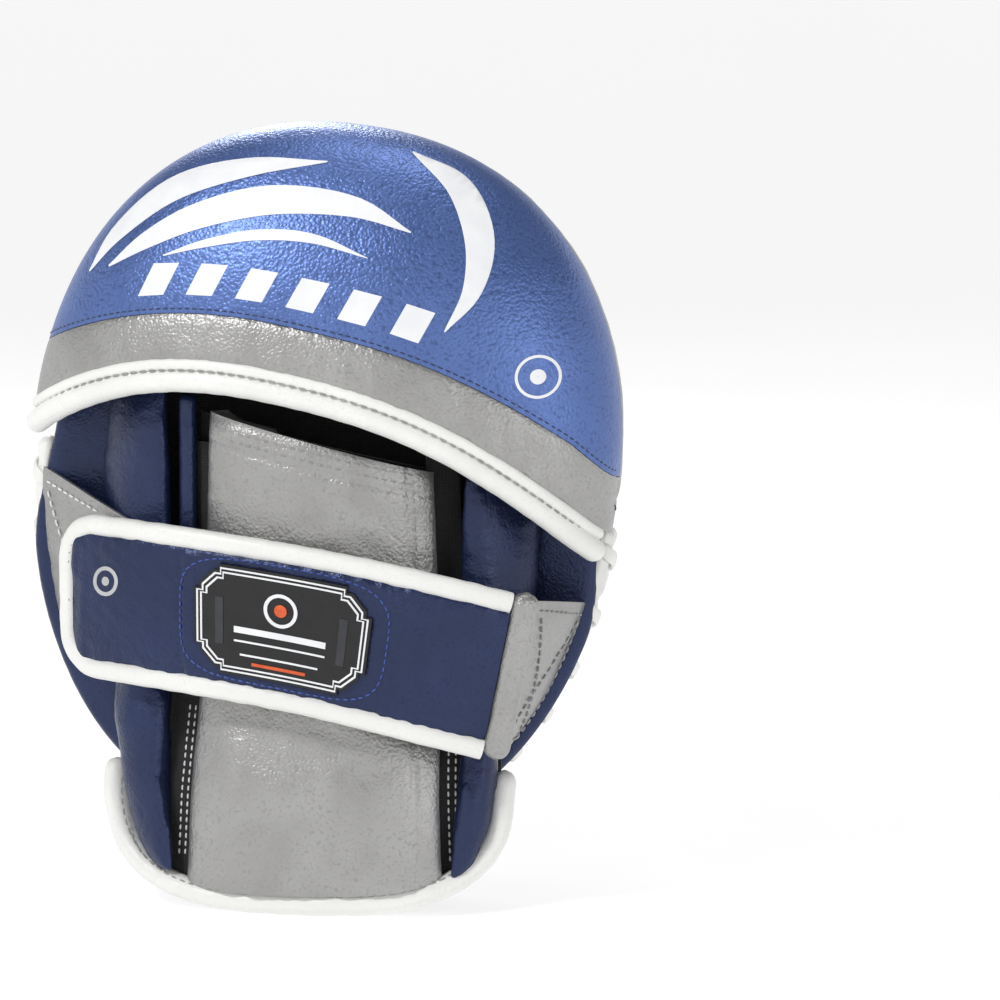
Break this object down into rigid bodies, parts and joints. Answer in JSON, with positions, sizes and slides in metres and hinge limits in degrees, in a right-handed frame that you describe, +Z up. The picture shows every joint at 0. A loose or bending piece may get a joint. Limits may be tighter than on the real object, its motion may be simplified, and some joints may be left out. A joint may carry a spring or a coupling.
{
  "type": "focus mitt",
  "caption": "Boxing focus mitt for one hand: padded oval strike face, finger hood, hand panel, flexing cuff and a hook-and-loop strap that opens.",
  "frame": {"origin": "middle of the bounding box on the ground, under the mitt standing on its cuff", "axes": "+Z up the hand from wrist to fingertips, +Y the way the strike face looks, -Y the back of the hand"},
  "size_m": [0.2064, 0.0902, 0.2551],
  "materials": {
    "blue_leather": "metallic pebbled blue leather",
    "face_leather": "smooth matte navy leather",
    "silver_leather": "metallic silver grained leather",
    "white_leather": "white leather binding and lace",
    "black_lining": "black woven lining",
    "badge_rubber": "moulded black rubber",
    "foam": "closed-cell foam sheet",
    "hook_and_loop": "black hook-and-loop tape",
    "care_label": "printed satin label, blank"
  },
  "bodies": {
    "mitt": {"face_center_panel": "face_leather", "face_crescent_upper": "face_leather", "face_crescent_lower": "face_leather", "impact_foam_front": "foam", "impact_foam_middle": "foam", "palm_foam_rear": "foam", "pad_back_cover": "blue_leather", "palm_grip": "black_lining", "side_band_upper": "silver_leather", "side_band_lower": "silver_leather", "rim_welt": "white_leather", "rim_lace": "white_leather", "hood_shell": "blue_leather", "hood_band": "silver_leather", "hood_foam": "foam", "hood_lining": "black_lining", "mouth_binding": "white_leather", "mouth_welt": "white_leather", "hand_panel_center": "silver_leather", "hand_panel_bolster_left": "blue_leather", "hand_panel_bolster_right": "blue_leather", "hand_panel_roll_left": "blue_leather", "hand_panel_gusset_left": "black_lining", "hand_panel_gusset_right": "black_lining", "hand_panel_lining": "black_lining", "wing_left": "silver_leather", "wing_left_loop_patch": "hook_and_loop", "wing_right": "silver_leather", "wing_right_fold": "silver_leather"},
    "strap": {"strap_leather": "blue_leather", "strap_lining": "black_lining", "strap_binding": "white_leather", "strap_badge": "badge_rubber", "strap_hook_patch": "hook_and_loop"},
    "cuff": {"cuff_center": "silver_leather", "cuff_bolster_left": "blue_leather", "cuff_bolster_right": "blue_leather", "cuff_gusset_left": "black_lining", "cuff_gusset_right": "black_lining", "cuff_lining": "black_lining", "cuff_care_label": "care_label", "cuff_binding": "white_leather"}
  },
  "joints": [
    {"name": "strap_peel", "type": "hinge", "parent": "mitt", "child": "strap", "pos_m": [0.07136, -0.03184, 0.08004], "axis": [0.1961, 0, 0.9806], "range_deg": [0, 110]},
    {"name": "cuff_flex", "type": "hinge", "parent": "mitt", "child": "cuff", "pos_m": [0.0017, -0.0315, 0.0734], "axis": [-0.9874, 0, 0.158], "range_deg": [0, 18], "stiffness_Nm_per_rad": 1.5}
  ]
}
